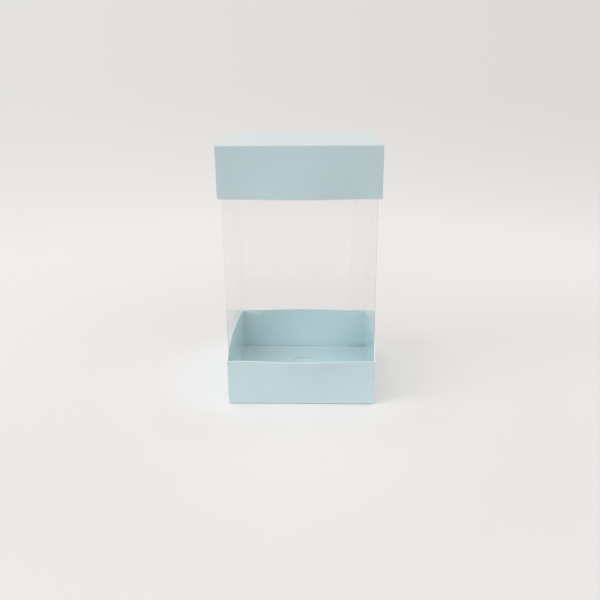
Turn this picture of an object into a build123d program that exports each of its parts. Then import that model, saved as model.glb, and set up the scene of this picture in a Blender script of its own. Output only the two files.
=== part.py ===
from build123d import *
import os

# Favour box: a card tray, a clear film sleeve that stands in it, and a card lid over the sleeve.
# Millimetres, +Z up, origin under the middle of the tray, front of the box towards -Y.

# Clear sleeve, one film creased into a square tube and closed by a glued lap inside the rear panel.
sleeve_side = 57.2
sleeve_height = 101.0
film_thickness = 0.25
film_crease_radius = 0.6
lap_width = 7.0

# Card blanks of the tray and the lid. Their walls bow outwards towards the rim.
card_thickness = 0.3
fold_radius = 0.35
straight_foot = 0.8
tray_height = 18.5
tray_bow = 1.6
lid_height = 19.2
lid_bow = 1.6

# Corner tabs of the side walls and the glue that holds them to the front and rear walls.
tab_width = 9.0
tab_taper = 1.5
tab_setback = 0.5
glue_thickness = 0.1
glue_margin = 1.0

# Half-moon cut in the tray's floor, open towards the front.
moon_radius = 5.0
moon_setback = 10.2
moon_slit = 0.35

# Room on each side of the sleeve, in the tray and in the lid.
tray_clearance = 0.15
lid_clearance = 0.9

# The side walls are one card thick, and the front and rear walls carry a glued tab at each end.
tab_inset = card_thickness + glue_thickness
tabbed_wall = tab_inset + card_thickness
tray_width = sleeve_side + 2 * (tray_clearance + card_thickness)
tray_depth = sleeve_side + 2 * (tray_clearance + tabbed_wall)
lid_width = sleeve_side + 2 * (lid_clearance + card_thickness)
lid_depth = sleeve_side + 2 * (lid_clearance + tabbed_wall)
box_height = sleeve_height + 2 * card_thickness

# Each tab starts inside the side wall that it is folded from, so that the two are one sheet.
tab_root = card_thickness / 4

ON_FLOOR = (Align.CENTER, Align.CENTER, Align.MIN)


def between_walls(width, depth, height, bow, flat_end, inset):
    """Space between two facing walls, inset from their outer faces, which bow between their flat ends."""
    reach = depth / 2 - inset
    span = width / 2 - flat_end
    straight = Box(width, 2 * reach, height - straight_foot, align=ON_FLOOR)
    foot = Rectangle(2 * span, 2 * reach)
    front = ThreePointArc((-span, -reach), (0, -reach - bow), (span, -reach))
    rear = ThreePointArc((span, reach), (0, reach + bow), (-span, reach))
    rim = make_face([front, Line(front @ 1, rear @ 0), rear, Line(rear @ 1, front @ 0)])
    swell = loft([foot, Pos(0, 0, height - straight_foot) * rim], ruled=True)
    return Pos(0, 0, straight_foot) * (straight + swell)


def bowed_walls(width, depth, height, bow, flat_end):
    """Front and rear walls, one card thick, above the straight foot."""
    outside = between_walls(width, depth, height, bow, flat_end, 0)
    return outside - between_walls(width, depth, height, bow, flat_end, card_thickness)


def corner_patches(depth, face, thickness, near, far, low, high):
    """Four flat patches behind the ends of the front and rear walls, tapered towards their free ends."""
    free_end = [(far, low + tab_taper), (far, high - tab_taper)]
    outline = make_face(Polyline((near, low), *free_end, (near, high), close=True))
    back = Plane.XZ.offset(depth / 2 - face - thickness)
    front_right = extrude(back * outline, amount=thickness)
    front = front_right + mirror(front_right, about=Plane.YZ)
    return front + mirror(front, about=Plane.XZ)


def folded_blank(width, depth, height, bow):
    """Card tray standing on its panel: the folded blank and the glue patches under its corner tabs."""
    panel = Box(width, depth, straight_foot, align=ON_FLOOR)
    panel = fillet(panel.edges().group_by(Axis.Z)[0], fold_radius)
    inside = Box(width - 2 * card_thickness, depth - 2 * card_thickness, straight_foot, align=ON_FLOOR)
    panel -= Pos(0, 0, card_thickness) * inside

    end_walls = bowed_walls(width, depth, height, bow, tab_width)
    side_walls = Rot(0, 0, 90) * bowed_walls(depth, width, height, bow, 0)
    side_walls &= Box(2 * width, depth - 2 * tab_inset, 2 * height)

    half = width / 2
    low = straight_foot + tab_setback
    high = height - tab_setback
    tabs = corner_patches(depth, tab_inset, card_thickness, half - tab_root, half - tab_width, low, high)
    glue = corner_patches(
        depth,
        card_thickness,
        glue_thickness,
        half - card_thickness - glue_margin,
        half - tab_width + glue_margin,
        low + glue_margin,
        high - glue_margin,
    )
    return panel + end_walls + side_walls + tabs, glue


def make_tray():
    """Tray blank with the half-moon cut, and its glue."""
    blank, glue = folded_blank(tray_width, tray_depth, tray_height, tray_bow)
    ring = Circle(moon_radius + moon_slit / 2) - Circle(moon_radius - moon_slit / 2)
    rear_half = Rectangle(4 * moon_radius, 2 * moon_radius, align=(Align.CENTER, Align.MIN))
    cut = extrude(Pos(0, moon_setback) * (ring & rear_half), amount=2 * card_thickness, both=True)
    return blank - cut, glue


def make_lid():
    """Lid blank and its glue, turned over so that its panel lies on the sleeve's top edge."""
    blank, glue = folded_blank(lid_width, lid_depth, lid_height, lid_bow)
    place = Pos(0, 0, box_height) * Rot(180, 0, 0)
    return place * blank, place * glue


def patch(left, right, front, rear):
    """Rectangle between two sides and two ends."""
    return Pos((left + right) / 2, (front + rear) / 2) * Rectangle(right - left, rear - front)


def creased_square(side, radius, seam_corner):
    """Square with its corners creased, apart from the one where the film's two edges meet."""
    square = Rectangle(side, side)
    return fillet(square.vertices().sort_by_distance(seam_corner)[1:], radius)


def make_sleeve():
    """Film tube standing on the tray's floor, and the glue strip between its rear panel and its lap."""
    outside = sleeve_side / 2
    inside = outside - film_thickness
    lap_face = inside - glue_thickness
    seam_corner = (outside, outside)

    section = creased_square(sleeve_side, film_crease_radius, seam_corner)
    section -= creased_square(2 * inside, film_crease_radius - film_thickness, seam_corner)
    section -= patch(inside, sleeve_side, lap_face, inside)
    section += patch(outside - lap_width, outside, lap_face - film_thickness, lap_face)
    lap_crease = section.vertices().sort_by_distance((outside, lap_face))[0]
    section = fillet(lap_crease, film_thickness)
    tube = extrude(Pos(0, 0, card_thickness) * section, amount=sleeve_height)

    strip = patch(outside - lap_width + glue_margin, inside - glue_margin, lap_face, inside)
    glue = extrude(Pos(0, 0, card_thickness + glue_margin) * strip, amount=sleeve_height - 2 * glue_margin)
    return tube, glue


tray, tray_corner_glue = make_tray()
sleeve, sleeve_seam_glue = make_sleeve()
lid, lid_corner_glue = make_lid()

os.makedirs("parts", exist_ok=True)
nodes = {
    "tray": tray,
    "tray_corner_glue": tray_corner_glue,
    "sleeve": sleeve,
    "sleeve_seam_glue": sleeve_seam_glue,
    "lid": lid,
    "lid_corner_glue": lid_corner_glue,
}
for name, shape in nodes.items():
    export_step(shape, f"parts/{name}.step")
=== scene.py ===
"""Favour box: a folded card tray and lid, and the clear film sleeve that stands between them."""

import math
from collections import namedtuple

import bmesh
import bpy
from mathutils import Matrix, Vector
from mathutils.geometry import delaunay_2d_cdt


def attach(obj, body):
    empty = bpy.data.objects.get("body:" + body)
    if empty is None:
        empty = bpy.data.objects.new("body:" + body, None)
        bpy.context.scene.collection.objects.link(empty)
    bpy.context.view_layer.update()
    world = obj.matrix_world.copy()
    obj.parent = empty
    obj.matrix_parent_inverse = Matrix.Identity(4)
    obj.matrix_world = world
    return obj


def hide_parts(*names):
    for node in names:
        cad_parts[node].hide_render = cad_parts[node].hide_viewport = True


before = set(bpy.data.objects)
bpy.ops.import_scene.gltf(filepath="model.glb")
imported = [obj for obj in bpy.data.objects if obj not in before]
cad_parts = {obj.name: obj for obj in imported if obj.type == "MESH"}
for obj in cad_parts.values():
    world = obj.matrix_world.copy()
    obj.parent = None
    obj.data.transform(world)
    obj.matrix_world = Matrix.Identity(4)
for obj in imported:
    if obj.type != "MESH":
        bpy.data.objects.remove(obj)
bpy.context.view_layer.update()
scene = bpy.context.scene

MM = 0.001

# Gauges of the card, the film and the dried glue.
CARD = 0.3 * MM
FILM = 0.25 * MM
GLUE = 0.1 * MM

# The sleeve stands on the tray's floor and carries the lid.
SLEEVE_SIDE = 57.2 * MM
SLEEVE_HEIGHT = 101.0 * MM
CREASE_RADIUS = 0.6 * MM
LAP_WIDTH = 7.0 * MM
GLUE_MARGIN = 1.0 * MM
SLEEVE_HALF = SLEEVE_SIDE / 2
SLEEVE_LOW = CARD
SLEEVE_HIGH = SLEEVE_LOW + SLEEVE_HEIGHT
BOX_HEIGHT = SLEEVE_HIGH + CARD

# How far the middle of each film panel stands out, and how full its bow is from foot to top.
PANEL_BOW = {"left": -0.7 * MM, "right": 0.1 * MM, "front": 0.45 * MM, "rear": 0.35 * MM}
PANEL_FULLNESS = 0.8

# How hazy the film's creases are, and how grey its cut edges are: at top and bottom, the rear panel's free
# edge, and the lap's.
FRONT_HAZE = 1.0
REAR_HAZE = 0.4
END_GREY = 1.0
FREE_EDGE_GREY = 0.25
LAP_EDGE_GREY = 0.2

# What the two folded blanks share. Their walls bow outwards above a straight foot. The bow of the front and
# rear walls is eased into their flat ends, behind which the tabs of the side walls are glued.
FOLD_RADIUS = 0.35 * MM
STRAIGHT_FOOT = 0.8 * MM
WALL_BOW = 1.6 * MM
END_EASE = 1.3
SIDE_EASE = 1.0
TAB_WIDTH = 9.0 * MM
TAB_TAPER = 1.5 * MM
TAB_INSET = CARD + GLUE
CUT_ROUNDING = 0.04 * MM

# How much is nipped off a corner of the rim, and off one that has been knocked.
CORNER_NIP = 0.3 * MM
KNOCKED_NIP = 0.9 * MM

# The half-moon cut in the tray's floor. Behind it the floor stands up, and falls back over a short way.
MOON_RADIUS = 5.0 * MM
MOON_CENTRE = 10.2 * MM
MOON_SLIT = 0.35 * MM
MOON_LIFT = 0.3 * MM
MOON_FADE = 2.5 * MM
SLIT_INNER = MOON_RADIUS - MOON_SLIT / 2
SLIT_OUTER = MOON_RADIUS + MOON_SLIT / 2

# How far the paler wear and painted highlight reach from the outer folds and from the rim. On the inner side
# a painted highlight makes the walls paler from the rim down, the side walls most, where low light over the
# opposite wall falls.
FOLD_WEAR_AND_HIGHLIGHT = 0.8 * MM
RIM_WEAR_AND_HIGHLIGHT = 0.4 * MM
SIDE_PAINTED_HIGHLIGHT = 1.5
SIDE_PAINTED_HIGHLIGHT_REACH = 7.0 * MM
END_PAINTED_HIGHLIGHT = 0.4
END_PAINTED_HIGHLIGHT_REACH = 2.5 * MM

# How finely the sheets are divided.
FOLD_STEPS = 4
WALL_ROWS = 24
ROWS_UNDER_TAB = 3
ROWS_OVER_TAB = 2
END_COLUMNS = 44
SPARE_COLUMNS = 1
SIDE_COLUMNS = 40
TAB_STEPS = 6
SLIT_STEPS = 28
RING_STEPS = 24
GRID_STEPS = 15
FILM_LEVELS = 48
PANEL_STEPS = 18
LAP_STEPS = 7
SMEAR_STEPS = 4

# Loose points of a blank's flat panel: a ring close inside its rim, rings round the half-moon in shares of
# its radius, and a grid that keeps off both.
RIM_RING = 0.7 * MM
MOON_RINGS = (0.3, 0.6, 0.9, 1.15, 1.3, 1.5, 1.75, 2.0)
GRID_OFF_RIM = 2.0 * MM
GRID_OFF_RINGS = 0.8 * MM

# Points closer than this are one point, on a sheet and in the plan of a panel.
WELD = 1e-6
PLAN_WELD = 1e-7

# Sharper edges than these, in degrees, are cut edges to round off, or stay sharp in the shading.
CUT_ANGLE = 50
CARD_SHARP = 28
FILM_SHARP = 40

# Width and depth over the walls at their foot, half the side wall's length between its folds to the tabs, the
# walls' height, the nips at the left and right of the front rim, and whether the floor has the half-moon.
Blank = namedtuple("Blank", "width depth side_half height nips moon")

# A point of the sleeve's plan: its place, which way is outwards, its panel and how far it is from the panel's
# middle, or no panel on a crease, and the crease's haze.
PlanPoint = namedtuple("PlanPoint", "x y outward panel across haze")


def blank_round_sleeve(clearance, height, nips, moon):
    """Sizes of a blank folded round the sleeve. Its front and rear walls are a card, glue and a tab thick."""
    width = SLEEVE_SIDE + 2 * (clearance + CARD)
    depth = SLEEVE_SIDE + 2 * (clearance + TAB_INSET + CARD)
    return Blank(width, depth, depth / 2 - TAB_INSET - FOLD_RADIUS, height, nips, moon)


TRAY = blank_round_sleeve(clearance=0.15 * MM, height=18.5 * MM, nips=(CORNER_NIP, CORNER_NIP), moon=True)
LID = blank_round_sleeve(clearance=0.9 * MM, height=19.2 * MM, nips=(CORNER_NIP, KNOCKED_NIP), moon=False)


def srgb(red, green, blue):
    """Linear colour of a screen colour given in 0-255."""
    channels = [c / 255 for c in (red, green, blue)]
    return [c / 12.92 if c <= 0.04045 else ((c + 0.055) / 1.055) ** 2.4 for c in channels] + [1.0]


# Tones of the card: its outer and inner sides from deep to pale, its tooth, the pale tone of wear and painted
# highlight, and the core.
OUTER_TONES = (srgb(189, 212, 219), srgb(192, 215, 221))
# The inner tones are a touch darker than the outer ones: painted shade standing in for the film's shadow,
# which the film doesn't cast.
INNER_TONES = (srgb(187, 210, 217), srgb(190, 213, 218))
TOOTH_TONE = srgb(201, 221, 226)
WEAR_AND_HIGHLIGHT_TONE = srgb(219, 233, 236)
CORE_TONES = (srgb(222, 238, 242), srgb(236, 247, 249))

# What the film reflects, and what it lets through: alone, on its glue, at its creases and at its cut edges.
FILM_GLOSS = (0.97, 0.97, 0.965, 1.0)
FILM_TINT = (0.977, 0.977, 0.975, 1.0)
GLUED_TINT = (0.998, 0.998, 0.998, 1.0)
CREASE_TINT = (0.96, 0.96, 0.96, 1.0)
CUT_TINT = (0.5, 0.53, 0.55, 1.0)

# How much the film mirrors square on, how much more at a glancing angle and how steeply that comes, what a
# crease adds in haze and roughness, and the range of the noise that shows as handling marks.
MIRROR_SQUARE_ON = 0.03
MIRROR_GLANCING = 1.6
MIRROR_STEEPNESS = 11.0
CREASE_HAZE = 0.06
CREASE_ROUGHNESS = 0.3
MARKS = (0.55, 0.8)

# The glue in the lap, and the brushed glue under the corner tabs.
MILK_TONE = (0.86, 0.87, 0.86, 1.0)
CORNER_GLUE_TONES = (srgb(214, 216, 210), srgb(236, 237, 232))

# The backdrop's tone on the left and on the right, and how far to the side it reaches them.
BACKDROP_LEFT = srgb(228, 226, 223)
BACKDROP_RIGHT = srgb(219, 216, 213)
BACKDROP_REACH = 0.42

# The studio floor: its size, its gap under the tray, its tones close to the tray, paler there as a painted
# pool of light against the tray's shade, clear of it and afar, where only diffuse bounces meet it, and where
# these and the backdrop's tone begin and end, from the tray's middle.
FLOOR_RADIUS = 6.0
FLOOR_SEGMENTS = 96
FLOOR_GAP = 0.25 * MM
FLOOR_PAINTED_LIGHT = srgb(244, 242, 242)
FLOOR_CLEAR = srgb(223, 221, 221)
FLOOR_AFAR = srgb(137, 136, 134)
CLOSE_ENDS = 0.024
CLEAR_STARTS = 0.07
BOUNCE_FADES = 0.06
BOUNCE_ENDS = 0.3
BACKDROP_STARTS = 0.303

# The room's light: its strength from each side, how far towards a side it is full, the heights over which it
# comes in and goes out, lower at the rear, and its two colours.
LEFT_LIGHT = 1.52
RIGHT_LIGHT = 1.41
FRONT_LIGHT = 1.84
REAR_LIGHT = 2.5
FULL_LIGHT = 0.8
LIGHT_IN = (0.3, 0.5)
LIGHT_OUT = (0.8, 0.95)
REAR_LIGHT_OUT = (0.58, 0.78)
COOL_LIGHT = (1.0, 0.995, 0.985, 1.0)
WARM_LIGHT = (1.0, 0.955, 0.885, 1.0)

# The camera's place, its turns in degrees, and its lens and sensor in millimetres.
CAMERA_PLACE = (7.413 * MM, -265.917 * MM, 126.305 * MM)
CAMERA_YAW = 1.824
CAMERA_PITCH = 19.185
CAMERA_ROLL = -0.483
CAMERA_LENS = 39.634
CAMERA_SENSOR = 36.0
CAMERA_NEAR = 0.01


# Node helpers


def feed(tree, socket, value):
    """Links another socket, or sets a constant."""
    if isinstance(value, bpy.types.NodeSocket):
        tree.links.new(value, socket)
    else:
        socket.default_value = value


def add_node(tree, kind, settings=None, **inputs):
    """New node with its settings and its named inputs. Underscores stand for spaces."""
    node = tree.nodes.new(kind)
    for name, value in (settings or {}).items():
        setattr(node, name, value)
    for name, value in inputs.items():
        feed(tree, node.inputs[name.replace("_", " ")], value)
    return node


def calc(tree, operation, *values):
    """Output of a Math node."""
    node = tree.nodes.new("ShaderNodeMath")
    node.operation = operation
    for socket, value in zip(node.inputs, values):
        feed(tree, socket, value)
    return node.outputs[0]


def spread(tree, value, low, high, to_low, to_high, ease="LINEAR"):
    """Value mapped from one range to another, clamped."""
    node = add_node(
        tree,
        "ShaderNodeMapRange",
        {"interpolation_type": ease},
        Value=value,
        From_Min=low,
        From_Max=high,
        To_Min=to_low,
        To_Max=to_high,
    )
    return node.outputs["Result"]


def noise(tree, coords, scale, detail, roughness):
    """Noise between 0 and 1."""
    node = add_node(tree, "ShaderNodeTexNoise", Vector=coords, Scale=scale, Detail=detail)
    feed(tree, node.inputs["Roughness"], roughness)
    return node.outputs["Fac"]


def attribute(tree, name):
    """Value of one of the mesh's point attributes."""
    return add_node(tree, "ShaderNodeAttribute", {"attribute_name": name}).outputs["Fac"]


def bumped(tree, height, strength, distance):
    """Normal of a surface with a fine relief."""
    bump = add_node(tree, "ShaderNodeBump", Height=height, Strength=strength, Distance=distance)
    return bump.outputs["Normal"]


def mix_colour(tree, factor, first, second):
    """Blend of two colours."""
    node = tree.nodes.new("ShaderNodeMix")
    node.data_type = "RGBA"
    feed(tree, node.inputs["Factor"], factor)
    feed(tree, node.inputs["A"], first)
    feed(tree, node.inputs["B"], second)
    return node.outputs["Result"]


def mix_shaders(tree, factor, first, second):
    """Blend of two shader nodes."""
    node = tree.nodes.new("ShaderNodeMixShader")
    for socket, value in zip(node.inputs, (factor, first.outputs[0], second.outputs[0])):
        feed(tree, socket, value)
    return node.outputs["Shader"]


def seen(tree):
    """1 for what the camera sees, directly, in gloss or through the film, and 0 for other light."""
    path = tree.nodes.new("ShaderNodeLightPath").outputs
    direct = calc(tree, "MAXIMUM", path["Is Camera Ray"], path["Is Glossy Ray"])
    return calc(tree, "MAXIMUM", direct, path["Is Transmission Ray"])


# Materials


def new_material(name):
    """Empty node material, its tree, its Object coordinates and the socket for its surface."""
    material = bpy.data.materials.new(name)
    material.use_nodes = True
    tree = material.node_tree
    tree.nodes.clear()
    coords = tree.nodes.new("ShaderNodeTexCoord").outputs["Object"]
    return material, tree, coords, tree.nodes.new("ShaderNodeOutputMaterial").inputs["Surface"]


def make_card(name, coat, tones, wear_and_highlight_mark):
    """Pale blue card with a faint cloudy tone and a fine tooth, paler where it is worn and where a highlight
    is painted.
    """
    material, tree, coords, surface = new_material(name)
    clouds = noise(tree, coords, scale=160.0, detail=2.0, roughness=0.5)
    tooth = noise(tree, coords, scale=3600.0, detail=3.0, roughness=0.65)
    tone = mix_colour(tree, spread(tree, clouds, 0.25, 0.75, 0.0, 1.0), *tones)
    tone = mix_colour(tree, spread(tree, tooth, 0.35, 0.65, 0.0, 0.25), tone, TOOTH_TONE)
    # Paler where the mark is: wear and a painted highlight at the outer folds and rim, a painted highlight
    # inside from the rim down.
    wear_and_highlight = calc(tree, "MULTIPLY", attribute(tree, wear_and_highlight_mark), spread(tree, tooth, 0.35, 0.6, 0.25, 0.85))
    card = add_node(
        tree,
        "ShaderNodeBsdfPrincipled",
        Base_Color=mix_colour(tree, wear_and_highlight, tone, WEAR_AND_HIGHLIGHT_TONE),
        Roughness=spread(tree, tooth, 0.3, 0.7, 0.32, 0.4),
        IOR=1.5,
        Coat_Weight=coat,
        Coat_Roughness=0.15,
        Normal=bumped(tree, tooth, strength=0.3, distance=0.03 * MM),
    )
    feed(tree, surface, card.outputs["BSDF"])
    return material


def make_cut_edge():
    """The card's cut edges, where the paler core shows as loose fibres."""
    material, tree, coords, surface = new_material("card_cut_edge")
    fibres = noise(tree, coords, scale=5200.0, detail=2.0, roughness=0.6)
    core = add_node(
        tree,
        "ShaderNodeBsdfPrincipled",
        Base_Color=mix_colour(tree, spread(tree, fibres, 0.35, 0.65, 0.0, 1.0), *CORE_TONES),
        Roughness=0.85,
        Normal=bumped(tree, fibres, strength=0.5, distance=0.04 * MM),
    )
    feed(tree, surface, core.outputs["BSDF"])
    return material


def make_film():
    """Clear film, bright at a glancing angle, with faint marks, hazy creases and greyer cut edges."""
    material, tree, coords, surface = new_material("clear_film")
    waves = noise(tree, coords, scale=45.0, detail=1.0, roughness=0.5)
    marks = noise(tree, coords, scale=900.0, detail=3.0, roughness=0.6)
    crease = attribute(tree, "crease")
    glued = attribute(tree, "glued")

    normal = bumped(tree, waves, strength=0.1, distance=0.3 * MM)
    glance = add_node(tree, "ShaderNodeLayerWeight", Blend=0.5, Normal=normal).outputs["Facing"]
    steep = calc(tree, "POWER", glance, MIRROR_STEEPNESS)
    mirror = calc(tree, "MULTIPLY_ADD", steep, MIRROR_GLANCING, MIRROR_SQUARE_ON)
    mirror = calc(tree, "MULTIPLY", mirror, calc(tree, "SUBTRACT", 1.0, glued))
    marked = spread(tree, marks, *MARKS, 0.0, 0.012)
    haze = calc(tree, "ADD", marked, calc(tree, "MULTIPLY", crease, CREASE_HAZE))
    dulled = spread(tree, marks, *MARKS, 0.03, 0.09)
    rough = calc(tree, "MAXIMUM", dulled, calc(tree, "MULTIPLY", crease, CREASE_ROUGHNESS))
    gloss = add_node(tree, "ShaderNodeBsdfGlossy", Color=FILM_GLOSS, Roughness=rough, Normal=normal)

    tint = mix_colour(tree, glued, FILM_TINT, GLUED_TINT)
    tint = mix_colour(tree, crease, tint, CREASE_TINT)
    tint = mix_colour(tree, attribute(tree, "cut"), tint, CUT_TINT)
    clear = add_node(tree, "ShaderNodeBsdfTransparent", Color=tint)
    feed(tree, surface, mix_shaders(tree, calc(tree, "ADD", mirror, haze), clear, gloss))
    return material


def make_seam_glue():
    """Clear glue in the sleeve's lap, slightly milky, with small bubbles."""
    material, tree, coords, surface = new_material("seam_glue")
    bubbles = noise(tree, coords, scale=1500.0, detail=2.0, roughness=0.5)
    milk = add_node(tree, "ShaderNodeBsdfPrincipled", Base_Color=MILK_TONE, Roughness=0.4, IOR=1.3)
    clear = add_node(tree, "ShaderNodeBsdfTransparent", Color=GLUED_TINT)
    feed(tree, surface, mix_shaders(tree, spread(tree, bubbles, 0.4, 0.75, 0.0, 0.04), clear, milk))
    return material


def make_corner_glue():
    """Dried white glue between the corner tabs and the walls."""
    material, tree, coords, surface = new_material("corner_glue")
    brushed = noise(tree, coords, scale=700.0, detail=3.0, roughness=0.6)
    glue = add_node(
        tree,
        "ShaderNodeBsdfPrincipled",
        Base_Color=mix_colour(tree, brushed, *CORNER_GLUE_TONES),
        Roughness=spread(tree, brushed, 0.3, 0.7, 0.35, 0.6),
    )
    feed(tree, surface, glue.outputs["BSDF"])
    return material


def backdrop_tone(tree, sideways):
    """The backdrop's tone, a little darker towards the right."""
    shade = spread(tree, sideways, -BACKDROP_REACH, BACKDROP_REACH, 0.0, 1.0)
    return mix_colour(tree, shade, BACKDROP_LEFT, BACKDROP_RIGHT)


def make_floor_paper():
    """Plain paper with a painted pool of light close to the tray, that runs into the backdrop's tone far from
    it.
    """
    material, tree, coords, surface = new_material("studio_floor")
    length = add_node(tree, "ShaderNodeVectorMath", {"operation": "LENGTH"})
    feed(tree, length.inputs[0], coords)
    away = length.outputs["Value"]
    # Painted light: the floor is paler close to the tray, fading out over a few centimetres.
    clear = spread(tree, away, CLOSE_ENDS, CLEAR_STARTS, 0.0, 1.0, ease="SMOOTHSTEP")
    pale = mix_colour(tree, clear, FLOOR_PAINTED_LIGHT, FLOOR_CLEAR)
    diffuse = tree.nodes.new("ShaderNodeLightPath").outputs["Is Diffuse Ray"]
    bounce = calc(tree, "MULTIPLY", spread(tree, away, BOUNCE_FADES, BOUNCE_ENDS, 0.0, 1.0), diffuse)
    paper = add_node(
        tree,
        "ShaderNodeBsdfPrincipled",
        Base_Color=mix_colour(tree, bounce, pale, FLOOR_AFAR),
        Roughness=0.9,
        Specular_IOR_Level=0.1,
    )

    x = add_node(tree, "ShaderNodeSeparateXYZ", Vector=coords).outputs["X"]
    sideways = calc(tree, "DIVIDE", x, away)
    backdrop = add_node(tree, "ShaderNodeEmission", Color=backdrop_tone(tree, sideways), Strength=1.0)
    nearness = calc(tree, "DIVIDE", 1.0, away)
    far = spread(tree, nearness, 1 / FLOOR_RADIUS, 1 / BACKDROP_STARTS, 1.0, 0.0)
    feed(tree, surface, mix_shaders(tree, calc(tree, "MULTIPLY", far, seen(tree)), paper, backdrop))
    return material


# Sheets and meshes


def steps(low, high, count):
    """Evenly spaced values, both ends included."""
    return [low + (high - low) * i / count for i in range(count + 1)]


def new_holder(name, mesh):
    """Object in the scene that holds a mesh."""
    holder = bpy.data.objects.new(name, mesh)
    scene.collection.objects.link(holder)
    return holder


def plain_mesh(holder):
    """Mesh of an object with its modifiers applied. The object is removed."""
    bpy.context.view_layer.update()
    graph = bpy.context.evaluated_depsgraph_get()
    mesh = bpy.data.meshes.new_from_object(holder.evaluated_get(graph))
    bpy.data.objects.remove(holder)
    return mesh


def mesh_of(sheet, name, *finishes):
    """Mesh of a sheet that is ready, with its materials."""
    mesh = bpy.data.meshes.new(name)
    sheet.to_mesh(mesh)
    sheet.free()
    for finish in finishes:
        mesh.materials.append(finish)
    return mesh


def add_rows(sheet, rows, turned=False):
    """Faces between neighbouring rows of points."""
    verts = [[sheet.verts.new(point) for point in row] for row in rows]
    for near, far in zip(verts, verts[1:]):
        for i in range(len(near) - 1):
            corners = [near[i], near[i + 1], far[i + 1], far[i]]
            sheet.faces.new(corners[::-1] if turned else corners)


def mark_points(mesh, name, values):
    """Point attribute, for a material to read."""
    mesh.attributes.new(name, "FLOAT", "POINT").data.foreach_set("value", values)


def smooth_below(mesh, degrees):
    """Smooth shading, apart from edges sharper than the angle."""
    mesh.polygons.foreach_set("use_smooth", [True] * len(mesh.polygons))
    mesh.set_sharp_from_angle(angle=math.radians(degrees))


# Folded card blanks

WALL_INPUTS = {
    "Fold Width": "NodeSocketFloat",
    "Width": "NodeSocketFloat",
    "Reach": "NodeSocketFloat",
    "Height": "NodeSocketFloat",
    "Fold Radius": "NodeSocketFloat",
    "Foot": "NodeSocketFloat",
    "Flat End": "NodeSocketFloat",
    "Bow": "NodeSocketFloat",
    "Ease": "NodeSocketFloat",
    "Left Nip": "NodeSocketFloat",
    "Right Nip": "NodeSocketFloat",
    "Turn": "NodeSocketFloat",
    "Columns": "NodeSocketInt",
    "Spare Columns": "NodeSocketInt",
    "Rows": "NodeSocketInt",
}


def fold_place(tree, sizes, along, share):
    """Points of the fold, a quarter turn from under the panel's edge to the foot of the wall."""
    radius = sizes["Fold Radius"]
    half = calc(tree, "MULTIPLY", sizes["Width"], 0.5)
    left = calc(tree, "MULTIPLY", half, -1.0)
    angle = calc(tree, "MULTIPLY", share, math.pi / 2)
    x = calc(tree, "MINIMUM", calc(tree, "MAXIMUM", along, left), half)
    inwards = calc(tree, "MULTIPLY", radius, calc(tree, "SUBTRACT", 1.0, calc(tree, "SINE", angle)))
    y = calc(tree, "SUBTRACT", inwards, sizes["Reach"])
    z = calc(tree, "MULTIPLY", radius, calc(tree, "SUBTRACT", 1.0, calc(tree, "COSINE", angle)))
    return add_node(tree, "ShaderNodeCombineXYZ", X=x, Y=y, Z=z).outputs["Vector"]


def wall_place(tree, sizes, along, share):
    """Points of the wall, nipped at the rim's corners and bowed out between its flat ends."""
    radius, height, foot = sizes["Fold Radius"], sizes["Height"], sizes["Foot"]
    half = calc(tree, "MULTIPLY", sizes["Width"], 0.5)
    left = calc(tree, "MULTIPLY", half, -1.0)

    # The rows lie closer together towards the foot and the rim.
    closer = calc(tree, "SUBTRACT", 3.0, calc(tree, "MULTIPLY", share, 2.0))
    rise = calc(tree, "MULTIPLY", calc(tree, "POWER", share, 2.0), closer)
    z = calc(tree, "ADD", radius, calc(tree, "MULTIPLY", rise, calc(tree, "SUBTRACT", height, radius)))

    from_rim = calc(tree, "SUBTRACT", height, z)
    left_cut = calc(tree, "MAXIMUM", calc(tree, "SUBTRACT", sizes["Left Nip"], from_rim), 0.0)
    right_cut = calc(tree, "MAXIMUM", calc(tree, "SUBTRACT", sizes["Right Nip"], from_rim), 0.0)
    x = calc(tree, "MAXIMUM", along, calc(tree, "ADD", left, left_cut))
    x = calc(tree, "MINIMUM", x, calc(tree, "SUBTRACT", half, right_cut))

    span = calc(tree, "SUBTRACT", half, sizes["Flat End"])
    off_middle = calc(tree, "POWER", calc(tree, "DIVIDE", calc(tree, "ABSOLUTE", along), span), 2.0)
    between_ends = calc(tree, "MAXIMUM", calc(tree, "SUBTRACT", 1.0, off_middle), 0.0)
    bow = calc(tree, "MULTIPLY", sizes["Bow"], calc(tree, "POWER", between_ends, sizes["Ease"]))
    ramp = calc(tree, "DIVIDE", calc(tree, "SUBTRACT", z, foot), calc(tree, "SUBTRACT", height, foot))
    swell = calc(tree, "MULTIPLY", bow, calc(tree, "MAXIMUM", ramp, 0.0))
    y = calc(tree, "MULTIPLY", calc(tree, "ADD", sizes["Reach"], swell), -1.0)
    return add_node(tree, "ShaderNodeCombineXYZ", X=x, Y=y, Z=z).outputs["Vector"]


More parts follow.
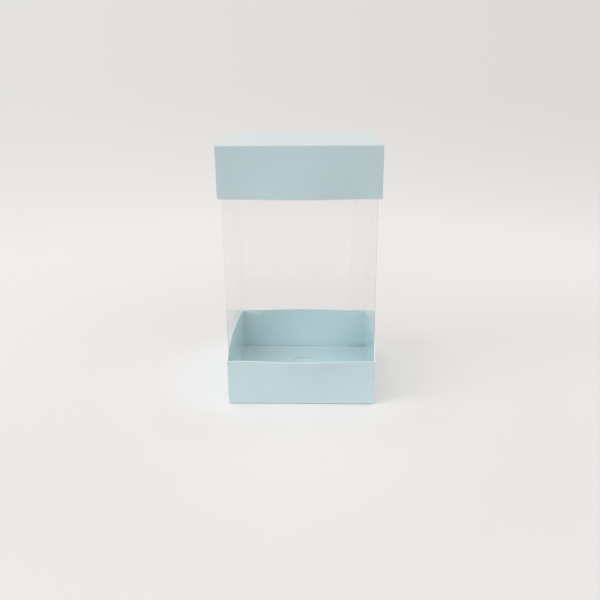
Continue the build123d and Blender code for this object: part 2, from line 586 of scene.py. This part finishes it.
def wall_pair_tree(card):
    """Geometry Nodes tree of two facing walls, folded up from the panel and bowed out towards the rim."""
    tree = bpy.data.node_groups.new("wall_pair", "GeometryNodeTree")
    for name, kind in WALL_INPUTS.items():
        tree.interface.new_socket(name, in_out="INPUT", socket_type=kind)
    tree.interface.new_socket("Walls", in_out="OUTPUT", socket_type="NodeSocketGeometry")
    sizes = tree.nodes.new("NodeGroupInput").outputs

    # The fold's columns fill its width, and the spare ones at both ends have the same pitch.
    columns = sizes["Columns"]
    spare = calc(tree, "MULTIPLY", sizes["Spare Columns"], 2.0)
    pitch = calc(tree, "DIVIDE", sizes["Fold Width"], calc(tree, "SUBTRACT", columns, spare))
    length = calc(tree, "MULTIPLY", pitch, columns)
    across = calc(tree, "ADD", columns, 1.0)

    position = tree.nodes.new("GeometryNodeInputPosition").outputs["Position"]
    flat = add_node(tree, "ShaderNodeSeparateXYZ", Vector=position).outputs
    share = calc(tree, "ADD", flat["Y"], 0.5)
    joined = tree.nodes.new("GeometryNodeJoinGeometry")
    wall_rows = calc(tree, "ADD", sizes["Rows"], 1.0)
    for rows, place in ((FOLD_STEPS + 1, fold_place), (wall_rows, wall_place)):
        grid = add_node(tree, "GeometryNodeMeshGrid", Size_X=length, Size_Y=1.0, Vertices_X=across)
        feed(tree, grid.inputs["Vertices Y"], rows)
        sheet = add_node(tree, "GeometryNodeSetPosition", Geometry=grid.outputs["Mesh"])
        feed(tree, sheet.inputs["Position"], place(tree, sizes, flat["X"], share))
        tree.links.new(sheet.outputs["Geometry"], joined.inputs["Geometry"])
    wall = add_node(tree, "GeometryNodeMergeByDistance", Geometry=joined.outputs["Geometry"], Distance=WELD)

    # The second wall is the first one turned round.
    ends = add_node(tree, "GeometryNodeMeshLine", Count=2, Offset=(0.0, 0.0, 0.0))
    index = tree.nodes.new("GeometryNodeInputIndex").outputs["Index"]
    turn = calc(tree, "ADD", calc(tree, "MULTIPLY", index, math.pi), sizes["Turn"])
    euler = add_node(tree, "ShaderNodeCombineXYZ", Z=turn)
    rotation = add_node(tree, "FunctionNodeEulerToRotation", Euler=euler.outputs["Vector"])
    pair = add_node(
        tree,
        "GeometryNodeInstanceOnPoints",
        Points=ends.outputs["Mesh"],
        Instance=wall.outputs["Geometry"],
        Rotation=rotation.outputs["Rotation"],
    )
    solid = add_node(tree, "GeometryNodeRealizeInstances", Geometry=pair.outputs["Instances"])
    painted = add_node(tree, "GeometryNodeSetMaterial", Geometry=solid.outputs["Geometry"], Material=card)
    result = tree.nodes.new("NodeGroupOutput")
    tree.links.new(painted.outputs["Geometry"], result.inputs["Walls"])
    return tree


def wall_pair(tree, **sizes):
    """Mesh of two facing walls. Underscores in the input names stand for spaces."""
    holder = new_holder("walls", bpy.data.meshes.new("walls"))
    walls = holder.modifiers.new("Walls", "NODES")
    walls.node_group = tree
    for item in tree.interface.items_tree:
        if item.in_out == "INPUT":
            walls[item.identifier] = sizes[item.name.replace(" ", "_").lower()]
    return plain_mesh(holder)


def half_ring(radius, count):
    """Points on the rear half of a circle round the half-moon's centre."""
    return [(radius * math.cos(a), MOON_CENTRE + radius * math.sin(a)) for a in steps(0, math.pi, count)]


def closed_loop(first, count):
    """Edges round a loop of points."""
    return [(first + i, first + (i + 1) % count) for i in range(count)]


def floor_plan(blank):
    """Points and edges of the flat panel between the folds, with the half-moon's slit where it has one."""
    half_x = blank.width / 2 - FOLD_RADIUS
    half_y = blank.depth / 2 - FOLD_RADIUS
    rim = [(x, -half_y) for x in steps(-half_x, half_x, END_COLUMNS - 2 * SPARE_COLUMNS)]
    rim += [(half_x, y) for y in steps(-blank.side_half, blank.side_half, SIDE_COLUMNS)]
    rim += [(-x, -y) for x, y in rim]
    edges = closed_loop(0, len(rim))
    inner = 1 - RIM_RING / half_x
    points = rim + [(x * inner, y * inner) for x, y in rim]

    keep_off = 0.0
    if blank.moon:
        slit = half_ring(SLIT_OUTER, SLIT_STEPS) + half_ring(SLIT_INNER, SLIT_STEPS)[::-1]
        edges += closed_loop(len(points), len(slit))
        points += slit
        for share in MOON_RINGS:
            points += half_ring(share * SLIT_INNER, RING_STEPS)
        keep_off = MOON_RINGS[-1] * SLIT_OUTER + GRID_OFF_RINGS
    for x in steps(-half_x + GRID_OFF_RIM, half_x - GRID_OFF_RIM, GRID_STEPS):
        for y in steps(-half_y + GRID_OFF_RIM, half_y - GRID_OFF_RIM, GRID_STEPS):
            if math.hypot(x, y - MOON_CENTRE) > keep_off:
                points.append((x, y))
    return points, edges


def moon_lift(x, y):
    """How far the floor stands up behind the half-moon."""
    away = math.hypot(x, y - MOON_CENTRE)
    if away <= MOON_RADIUS or y <= MOON_CENTRE:
        return 0.0
    return MOON_LIFT * (y - MOON_CENTRE) / away * math.exp(-(((away - SLIT_OUTER) / MOON_FADE) ** 2))


def in_slit(x, y):
    """Whether a point of the floor lies in the half-moon's slit."""
    return y > MOON_CENTRE and SLIT_INNER < math.hypot(x, y - MOON_CENTRE) < SLIT_OUTER


def add_floor(sheet, blank):
    """The flat panel between the folds, facing down, with the half-moon cut in it where it has one."""
    points, edges = floor_plan(blank)
    places, _, faces, *_ = delaunay_2d_cdt([Vector(p) for p in points], edges, [], 1, PLAN_WELD)
    verts = [sheet.verts.new((x, y, moon_lift(x, y) if blank.moon else 0.0)) for x, y in places]
    for corners in faces:
        middle = sum((places[i] for i in corners), Vector((0.0, 0.0))) / len(corners)
        if not (blank.moon and in_slit(*middle)):
            sheet.faces.new([verts[i] for i in reversed(corners)])


def add_corners(sheet, blank):
    """Tabs folded from the ends of the side walls, and the walls' own ends under and over the tabs."""
    half = blank.width / 2
    tab_face = blank.depth / 2 - TAB_INSET
    rise = blank.height - FOLD_RADIUS
    heights = [FOLD_RADIUS + rise * t * t * (3 - 2 * t) for t in steps(0, 1, WALL_ROWS)]
    levels = heights[ROWS_UNDER_TAB:-ROWS_OVER_TAB]
    middle = (levels[0] + levels[-1]) / 2
    shrink = TAB_TAPER / (levels[-1] - middle)
    quarter = steps(0, math.pi / 2, FOLD_STEPS)

    tab = []
    for angle in quarter:
        x = half - FOLD_RADIUS * (1 - math.cos(angle))
        y = blank.side_half + FOLD_RADIUS * math.sin(angle)
        tab.append([(x, y, z) for z in levels])
    for t in steps(0, 1, TAB_STEPS)[1:]:
        x = half - FOLD_RADIUS - t * (TAB_WIDTH - FOLD_RADIUS)
        tab.append([(x, tab_face, middle + (z - middle) * (1 - t * shrink)) for z in levels])

    under = [(half - FOLD_RADIUS * (1 - math.sin(a)), FOLD_RADIUS * (1 - math.cos(a))) for a in quarter]
    under += [(half, z) for z in heights[1 : ROWS_UNDER_TAB + 1]]
    over = [(half, z) for z in heights[-ROWS_OVER_TAB - 1 :]]
    ends = (blank.side_half, blank.depth / 2 - FOLD_RADIUS)
    strips = [[[(x, y, z) for x, z in profile] for y in ends] for profile in (under, over)]

    for side in (-1, 1):
        for end in (-1, 1):
            for lines in (tab, *strips):
                rows = [[(side * x, end * y, z) for x, y, z in line] for line in lines]
                add_rows(sheet, rows, turned=side == end)


def mark_wear_and_highlights(mesh, blank):
    """Marks the outer side's folds and rim, paler with wear and a painted highlight, and the inner side's
    painted highlight from the rim down, the side walls most.
    """
    outer, inner = [], []
    for vert in mesh.vertices:
        x, y, z = abs(vert.co.x), abs(vert.co.y), vert.co.z
        from_rim = blank.height - z
        to_end = math.hypot(max(blank.depth / 2 - y, 0.0), z)
        to_side = math.hypot(max(blank.width / 2 - x, 0.0), z)
        # The rim band is wear and a painted highlight on both sides; the outer side adds the folds.
        rim = 1 - from_rim / RIM_WEAR_AND_HIGHLIGHT
        outer.append(max(0.0, rim, 1 - min(to_end, to_side) / FOLD_WEAR_AND_HIGHLIGHT))
        # Inner side: a painted highlight from the rim down, widest and strongest on the side walls.
        on_side_wall = x > blank.width / 2 - 2 * CARD and y < blank.depth / 2 - 2 * TAB_INSET
        most, reach = (SIDE_PAINTED_HIGHLIGHT, SIDE_PAINTED_HIGHLIGHT_REACH) if on_side_wall else (END_PAINTED_HIGHLIGHT, END_PAINTED_HIGHLIGHT_REACH)
        inner.append(max(0.0, rim, most * (1 - from_rim / reach)))
    mark_points(mesh, "edge_wear", outer)
    mark_points(mesh, "inside_wear", inner)


def give_thickness(holder):
    """Card thickness inside the outer face, and rounded cut edges. The finishes are outer, edge and inner."""
    thick = holder.modifiers.new("Card", "SOLIDIFY")
    thick.thickness = CARD
    thick.offset = -1.0
    thick.use_even_offset = True
    thick.material_offset_rim = 1
    thick.material_offset = 2
    rounded = holder.modifiers.new("Cut edges", "BEVEL")
    rounded.width = CUT_ROUNDING
    rounded.segments = 2
    rounded.limit_method = "ANGLE"
    rounded.angle_limit = math.radians(CUT_ANGLE)


def folded_blank(name, tree, finishes, blank):
    """Card blank folded up from its panel, which lies on z = 0."""
    shared = {
        "height": blank.height,
        "fold_radius": FOLD_RADIUS,
        "foot": STRAIGHT_FOOT,
        "bow": WALL_BOW,
        "rows": WALL_ROWS,
    }
    ends = wall_pair(
        tree,
        fold_width=blank.width - 2 * FOLD_RADIUS,
        width=blank.width,
        reach=blank.depth / 2,
        flat_end=TAB_WIDTH,
        ease=END_EASE,
        left_nip=blank.nips[0],
        right_nip=blank.nips[1],
        turn=0.0,
        columns=END_COLUMNS,
        spare_columns=SPARE_COLUMNS,
        **shared,
    )
    sides = wall_pair(
        tree,
        fold_width=2 * blank.side_half,
        width=2 * blank.side_half,
        reach=blank.width / 2,
        flat_end=0.0,
        ease=SIDE_EASE,
        left_nip=0.0,
        right_nip=0.0,
        turn=math.pi / 2,
        columns=SIDE_COLUMNS,
        spare_columns=0,
        **shared,
    )
    sheet = bmesh.new()
    sheet.from_mesh(ends)
    sheet.from_mesh(sides)
    add_floor(sheet, blank)
    add_corners(sheet, blank)
    bmesh.ops.remove_doubles(sheet, verts=sheet.verts, dist=WELD)

    # Every outer face has the first finish.
    for face in sheet.faces:
        face.material_index = 0
    holder = new_holder(name, mesh_of(sheet, name, *finishes))
    give_thickness(holder)
    mesh = plain_mesh(holder)
    for vert in mesh.vertices:
        vert.co.z = max(vert.co.z, 0.0)
    mark_wear_and_highlights(mesh, blank)
    smooth_below(mesh, CARD_SHARP)
    return mesh


# Sleeve


def panel_swell(panel, across, z):
    """How far a panel of the sleeve stands out from its flat place."""
    rise = (z - SLEEVE_LOW) / SLEEVE_HEIGHT
    belly = math.sin(math.pi * min(max(rise, 0.0), 1.0)) ** PANEL_FULLNESS
    return PANEL_BOW[panel] * belly * max(0.0, 1 - (across / SLEEVE_HALF) ** 2)


def panel_along_x(panel, y, outward, places):
    """Plan of a front or rear panel."""
    return [PlanPoint(x, y, outward, panel, x, 0.0) for x in places]


def panel_along_y(panel, x, outward, places):
    """Plan of a left or right panel."""
    return [PlanPoint(x, y, outward, panel, y, 0.0) for y in places]


def rounded_crease(centre_x, centre_y, radius, start, haze):
    """Plan of a rounded crease, a quarter turn without the two ends that the panels have."""
    points = []
    for angle in steps(start, start + math.pi / 2, FOLD_STEPS)[1:-1]:
        outward = (math.cos(angle), math.sin(angle))
        x = centre_x + radius * outward[0]
        y = centre_y + radius * outward[1]
        points.append(PlanPoint(x, y, outward, None, 0.0, haze))
    return points


def sleeve_plan():
    """Plan of the film's outer face, from the rear panel's free edge round to the lap inside that panel."""
    half = SLEEVE_HALF
    bend = half - CREASE_RADIUS
    lap_face = half - FILM - GLUE
    lap_bend = lap_face - FILM
    rear = (half, *steps(half - FILM, -bend, PANEL_STEPS))
    lap = (*steps(half - FILM, half - LAP_WIDTH + FILM, LAP_STEPS - 2), half - LAP_WIDTH)
    return [
        *panel_along_x("rear", half, (0, 1), rear),
        *rounded_crease(-bend, bend, CREASE_RADIUS, math.pi / 2, REAR_HAZE),
        *panel_along_y("left", -half, (-1, 0), steps(bend, -bend, PANEL_STEPS)),
        *rounded_crease(-bend, -bend, CREASE_RADIUS, math.pi, FRONT_HAZE),
        *panel_along_x("front", -half, (0, -1), steps(-bend, bend, PANEL_STEPS)),
        *rounded_crease(bend, -bend, CREASE_RADIUS, 1.5 * math.pi, FRONT_HAZE),
        *panel_along_y("right", half, (1, 0), steps(-bend, lap_bend, PANEL_STEPS)),
        *rounded_crease(half - FILM, lap_bend, FILM, 0.0, REAR_HAZE),
        *panel_along_x("rear", lap_face, (0, 1), lap),
    ]


def sleeve_mesh(film):
    """Film strip creased into a square tube, with its lap inside the rear panel. The film is one layer."""
    plan = sleeve_plan()
    levels = [SLEEVE_LOW, *steps(SLEEVE_LOW + FILM, SLEEVE_HIGH - FILM, FILM_LEVELS), SLEEVE_HIGH]
    rows = []
    for z in levels:
        row = []
        for point in plan:
            swell = panel_swell(point.panel, point.across, z) if point.panel else 0.0
            row.append((point.x + point.outward[0] * swell, point.y + point.outward[1] * swell, z))
        rows.append(row)
    sheet = bmesh.new()
    add_rows(sheet, rows)
    mesh = mesh_of(sheet, "sleeve_film", film)

    last = len(plan) - 1
    sides = [{0: FREE_EDGE_GREY, last: LAP_EDGE_GREY}.get(i, 0.0) for i in range(len(plan))]
    ends = [END_GREY] * len(plan)
    mark_points(mesh, "cut", [*ends, *sides * (len(levels) - 2), *ends])
    mark_points(mesh, "crease", [point.haze for point in plan] * len(levels))
    mark_points(mesh, "glued", [float(i > last - LAP_STEPS) for i in range(len(plan))] * len(levels))
    smooth_below(mesh, FILM_SHARP)
    return mesh


def seam_glue_mesh(glue):
    """Thin smear of glue between the rear panel and the lap."""
    depth = SLEEVE_HALF - FILM - GLUE / 2
    right = SLEEVE_HALF - FILM - GLUE_MARGIN
    left = SLEEVE_HALF - LAP_WIDTH + GLUE_MARGIN
    places = steps(right, left, SMEAR_STEPS)
    levels = steps(SLEEVE_LOW + GLUE_MARGIN, SLEEVE_HIGH - GLUE_MARGIN, FILM_LEVELS)
    smear = bmesh.new()
    add_rows(smear, [[(x, depth + panel_swell("rear", x, z), z) for x in places] for z in levels])
    mesh = mesh_of(smear, "sleeve_glue_line", glue)
    smooth_below(mesh, FILM_SHARP)
    return mesh


# Studio


def make_floor():
    """Plain pale floor, a little below the tray."""
    disc = bmesh.new()
    bmesh.ops.create_circle(disc, cap_ends=True, segments=FLOOR_SEGMENTS, radius=FLOOR_RADIUS)
    mesh = mesh_of(disc, "studio_floor", make_floor_paper())
    mesh.transform(Matrix.Translation((0.0, 0.0, -FLOOR_GAP)))
    floor = new_holder("studio_floor", mesh)


def make_world():
    """Soft room light from the height of studio lamps. The camera, gloss and film see the backdrop's tone."""
    world = bpy.data.worlds.new("studio")
    scene.world = world
    world.use_nodes = True
    tree = world.node_tree
    tree.nodes.clear()
    direction = tree.nodes.new("ShaderNodeTexCoord").outputs["Generated"]
    x, y, z = add_node(tree, "ShaderNodeSeparateXYZ", Vector=direction).outputs
    left = spread(tree, x, -FULL_LIGHT, 0.0, LEFT_LIGHT, 0.0)
    right = spread(tree, x, 0.0, FULL_LIGHT, 0.0, RIGHT_LIGHT)
    front = spread(tree, y, -FULL_LIGHT, 0.0, FRONT_LIGHT, 0.0)
    rear = spread(tree, y, 0.0, FULL_LIGHT, 0.0, REAR_LIGHT)
    rear = calc(tree, "MULTIPLY", rear, spread(tree, z, *REAR_LIGHT_OUT, 1.0, 0.0))
    coming_in = spread(tree, z, *LIGHT_IN, 0.0, 1.0)
    going_out = spread(tree, z, *LIGHT_OUT, 1.0, 0.0)
    band = calc(tree, "MINIMUM", coming_in, going_out)

    room = tree.nodes.new("ShaderNodeAddShader")
    most = calc(tree, "ADD", left, calc(tree, "ADD", front, rear))
    for socket, colour, strength in zip(room.inputs, (COOL_LIGHT, WARM_LIGHT), (most, right)):
        light = add_node(tree, "ShaderNodeBackground", Color=colour)
        feed(tree, light.inputs["Strength"], calc(tree, "MULTIPLY", band, strength))
        feed(tree, socket, light.outputs["Background"])
    backdrop = add_node(tree, "ShaderNodeBackground", Color=backdrop_tone(tree, x), Strength=1.0)
    output = tree.nodes.new("ShaderNodeOutputWorld")
    feed(tree, output.inputs["Surface"], mix_shaders(tree, seen(tree), room, backdrop))


def make_lamp(name, place, aim, size, power):
    """Soft square lamp."""
    lamp = bpy.data.lights.new(name, "AREA")
    lamp.shape = "SQUARE"
    lamp.size = size
    lamp.energy = power
    holder = bpy.data.objects.new(name, lamp)
    holder.location = place
    holder.rotation_euler = (Vector(aim) - Vector(place)).to_track_quat("-Z", "Y").to_euler()
    scene.collection.objects.link(holder)


def make_camera():
    """Camera at the photograph's viewing angle."""
    yaw, pitch, roll = (math.radians(a) for a in (CAMERA_YAW, CAMERA_PITCH, CAMERA_ROLL))
    forward = Vector((-math.sin(yaw) * math.cos(pitch), math.cos(yaw) * math.cos(pitch), -math.sin(pitch)))
    level = Vector((math.cos(yaw), math.sin(yaw), 0.0))
    upright = level.cross(forward)
    right = math.cos(roll) * level + math.sin(roll) * upright
    up = math.cos(roll) * upright - math.sin(roll) * level
    turn = Matrix((right, up, -forward)).transposed().to_4x4()
    lens = bpy.data.cameras.new("camera")
    lens.sensor_width = CAMERA_SENSOR
    lens.lens = CAMERA_LENS
    lens.clip_start = CAMERA_NEAR
    camera = bpy.data.objects.new("camera", lens)
    camera.matrix_world = Matrix.Translation(CAMERA_PLACE) @ turn
    scene.collection.objects.link(camera)
    scene.camera = camera


# Assembly


def add_piece(name, mesh, body, slot, *nodes):
    """Finished piece on its body, in place of its CAD nodes."""
    mesh.name = name
    piece = new_holder(name, mesh)
    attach(piece, body)
    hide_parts(*nodes)
    return piece


# The outer card is paler with wear and a painted highlight at folds and rim; the inner card has a painted
# highlight from the rim down.
card = make_card("pale_blue_card", coat=1.0, tones=OUTER_TONES, wear_and_highlight_mark="edge_wear")
inside = make_card("card_inside", coat=0.0, tones=INNER_TONES, wear_and_highlight_mark="inside_wear")
finishes = (card, make_cut_edge(), inside)
walls = wall_pair_tree(card)

tray = folded_blank("tray_card", walls, finishes, TRAY)
add_piece("tray_card", tray, "tray", "card", "tray")

lid = folded_blank("lid_card", walls, finishes, LID)
lid.transform(Matrix.Translation((0.0, 0.0, BOX_HEIGHT)) @ Matrix.Rotation(math.pi, 4, "X"))
add_piece("lid_card", lid, "lid", "card", "lid")

sleeve = add_piece("sleeve_film", sleeve_mesh(make_film()), "sleeve", "film", "sleeve")
seam_glue = seam_glue_mesh(make_seam_glue())
seam = add_piece("sleeve_glue_line", seam_glue, "sleeve", "glue", "sleeve_seam_glue")
for clear in (sleeve, seam):
    clear.visible_shadow = False
    clear.visible_diffuse = False

corner_glue = make_corner_glue()
for node in ("tray_corner_glue", "lid_corner_glue"):
    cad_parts[node].data.materials.clear()
    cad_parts[node].data.materials.append(corner_glue)

make_floor()
make_world()
make_lamp("key", place=(-3.25, -1.17, 1.3), aim=(0.0, 0.0, 0.04), size=2.1, power=48.0)
make_camera()

scene.view_settings.view_transform = "Standard"
